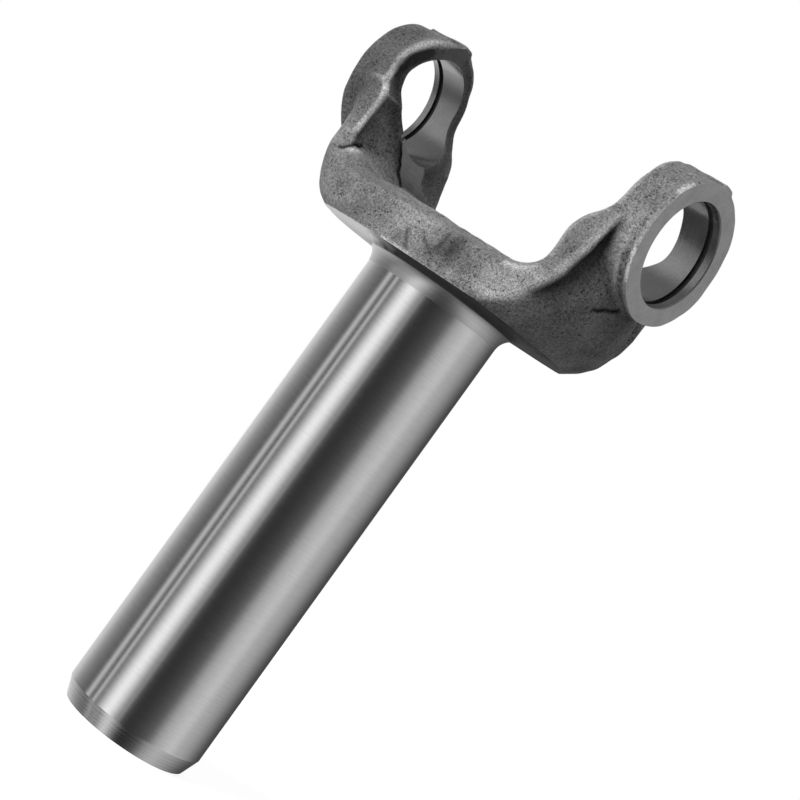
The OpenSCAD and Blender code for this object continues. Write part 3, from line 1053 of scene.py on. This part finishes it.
def add_panels():
    """A dome of feathered panels that the bright metal reflects, out of the camera's sight."""
    made = bpy.data.materials.new("panels")
    made.use_nodes = True
    tree = made.node_tree
    tree.nodes.clear()
    place = node(tree, "TexCoord").outputs["Object"]
    direction = node(tree, "VectorMath", {0: place}, operation="NORMALIZE").outputs[0]
    up = node(tree, "SeparateXYZ", {0: direction}).outputs[2]
    flat = node(tree, "VectorMath", {0: place, 1: (1, 1, 0)}, operation="MULTIPLY").outputs[0]
    unit = node(tree, "VectorMath", {0: flat}, operation="NORMALIZE").outputs[0]
    total = PANEL_FLOOR
    for degrees, spread, level, firmness in PANELS:
        angle = CAMERA_AZIMUTH - math.pi / 2 + math.radians(degrees)
        facing = node(tree, "VectorMath", {0: unit, 1: (math.cos(angle), math.sin(angle), 0)},
                      operation="DOT_PRODUCT").outputs["Value"]
        falloff = math_node(tree, "MULTIPLY", math_node(tree, "SUBTRACT", 1.0, facing),
                            2 / math.radians(spread) ** 2)
        falloff = math_node(tree, "POWER", falloff, firmness)
        falloff = math_node(tree, "EXPONENT", math_node(tree, "MULTIPLY", falloff, -1.0))
        glow = math_node(tree, "MULTIPLY", falloff, level)
        total = math_node(tree, "ADD", glow, total)
    lower = node(tree, "MapRange", {"Value": up, "From Min": -1.0, "From Max": -0.7, "To Min": 0.3},
                 interpolation_type="SMOOTHSTEP").outputs[0]
    upper = node(tree, "MapRange", {"Value": up, "From Min": 0.4, "From Max": 0.8},
                 interpolation_type="SMOOTHSTEP").outputs[0]
    total = math_node(tree, "MULTIPLY", total, lower)
    total = node(tree, "Mix", {0: upper, 2: total, 3: TOP_LEVEL}, data_type="FLOAT").outputs[0]
    emission = node(tree, "Emission", {"Color": (1, 1, 1, 1), "Strength": total})
    output = node(tree, "OutputMaterial")
    tree.links.new(emission.outputs[0], output.inputs["Surface"])
    made.cycles.emission_sampling = "NONE"
    dome = lathe("panel_dome", [(max(r, 0), h) for r, h in arc(0, 0, DOME_R, -90, 90, 32)], 96)
    dome.data.transform(Matrix.Scale(MM, 4))
    dome.location = (0, 0, DOME_Z * MM)
    dome.data.shade_smooth()
    dome.data.materials.append(made)
    dome.visible_camera = False
    dome.visible_diffuse = False
    dome.visible_shadow = False


def add_floor():
    """Pale round floor that fades into the white surroundings and keeps the shadow."""
    made = bpy.data.materials.new("floor")
    made.use_nodes = True
    tree = made.node_tree
    tree.nodes.clear()
    place = node(tree, "TexCoord").outputs["Object"]
    reach = node(tree, "VectorMath", {0: place}, operation="LENGTH").outputs["Value"]
    fade = node(tree, "MapRange", {"Value": reach, "From Min": FLOOR_FADE_FROM,
                                   "From Max": FLOOR_FADE_TO},
                interpolation_type="SMOOTHSTEP").outputs[0]
    seen = light_path(tree)
    pale = node(tree, "BsdfDiffuse", {"Color": (FLOOR_TONE, FLOOR_TONE, FLOOR_TONE, 1)})
    lift = node(tree, "Emission", {"Color": (1, 1, 1, 1), "Strength": FLOOR_LIFT})
    white = node(tree, "Emission", {"Color": (1, 1, 1, 1), "Strength": 1.0})
    near = node(tree, "AddShader", {0: pale.outputs[0], 1: lift.outputs[0]})
    shown = node(tree, "MixShader", {0: fade, 1: near.outputs[0], 2: white.outputs[0]})
    mixed = node(tree, "MixShader", {0: seen, 1: pale.outputs[0], 2: shown.outputs[0]})
    output = node(tree, "OutputMaterial")
    tree.links.new(mixed.outputs[0], output.inputs["Surface"])
    made.cycles.emission_sampling = "NONE"
    floor = prism("floor", arc(0, 0, FLOOR_R, 0, 355, 71), FLOOR_BOTTOM, FLOOR_TOP)
    floor.data.transform(Matrix.Scale(MM, 4))
    floor.data.materials.append(made)
    floor.visible_glossy = False


def add_lamp(name, degrees, elevation, power):
    """Area lamp aimed at the fork, placed by degrees to the right of the camera."""
    angle = CAMERA_AZIMUTH - math.pi / 2 + math.radians(degrees)
    tilt = math.radians(elevation)
    away = Vector((math.cos(angle) * math.cos(tilt), math.sin(angle) * math.cos(tilt), math.sin(tilt)))
    data = bpy.data.lights.new(name, "AREA")
    data.shape = "SQUARE"
    data.size = LAMP_SIZE
    data.energy = power
    lamp = bpy.data.objects.new(name, data)
    lamp.location = LAMP_AIM + away * LAMP_DISTANCE
    lamp.rotation_mode = "QUATERNION"
    lamp.rotation_quaternion = away.to_track_quat("Z", "Y")
    lamp.visible_glossy = False
    bpy.context.scene.collection.objects.link(lamp)


def add_plug():
    """Pressed cup with a vent, its open side up, on its seat in the socket."""
    inside = PLUG_R - PLUG_SHEET
    low_corner = arc(PLUG_R - PLUG_CORNER_R, PLUG_CORNER_R, PLUG_CORNER_R, -90, 0, 5)
    outer = [(VENT_R, 0.0)] + low_corner + [(PLUG_R, PLUG_H - PLUG_EDGE)]
    inner = [(PLUG_R - PLUG_EDGE, PLUG_H), (inside + PLUG_EDGE, PLUG_H), (inside, PLUG_H - PLUG_EDGE)]
    inner += arc(inside - PLUG_INNER_R, PLUG_SHEET + PLUG_INNER_R, PLUG_INNER_R, 0, -90, 5)
    inner += [(VENT_R, PLUG_SHEET)]
    plug = lathe("expansion_cup", outer + inner + [outer[0]], 96)
    plug.data.transform(Matrix.Translation((0, 0, PLUG_SEAT_Z)))
    return plug


def dress_yoke(yoke):
    """Gives each face of the yoke its finish."""
    centres, normals = face_arrays(yoke)
    yoke.data.materials.clear()
    for made in (forged_material(), ground_material(), turned_material(),
                 machined_material("milled_faces", 0.60, 0.34, "X", gloss_stretch=0.2, line_scale=0.2,
                                   speckle=0.09),
                 # Painted shade on the upper part of the bores and trimmed edges, more on the right ear
                 machined_material("cap_bores", 0.62, 0.24, "X", shade_top=0.45, shade_right=0.22),
                 machined_material("trimmed_edge", 0.30, 0.42, "Z", gloss_stretch=0.2, shade_top=0.5),
                 machined_material("broached_bore", 0.5, 0.36, "Z", gloss_stretch=0.3, line_scale=0.4),
                 # The ring grooves are darker than the bores: painted shade in their depth
                 machined_material("ring_grooves", 0.22, 0.5, "X", gloss_stretch=0.2)):
        yoke.data.materials.append(made)
    shade(yoke, classify(centres, normals))


yoke = build_yoke()
dress_yoke(yoke)
yoke.data.transform(Matrix.Scale(MM, 4))
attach(yoke, "root")
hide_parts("yoke")

plug = add_plug()
plug.data.shade_smooth()
plug.data.set_sharp_from_angle(angle=math.radians(35))
plug.data.materials.append(plug_material())
plug.data.transform(Matrix.Scale(MM, 4))
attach(plug, "root")
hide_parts("expansion_plug")

add_camera()
add_world()
add_panels()
add_floor()
for lamp_name, (degrees, elevation, watts) in LAMPS.items():
    add_lamp(lamp_name, degrees, elevation, watts)
bpy.context.scene.view_settings.view_transform = "Standard"
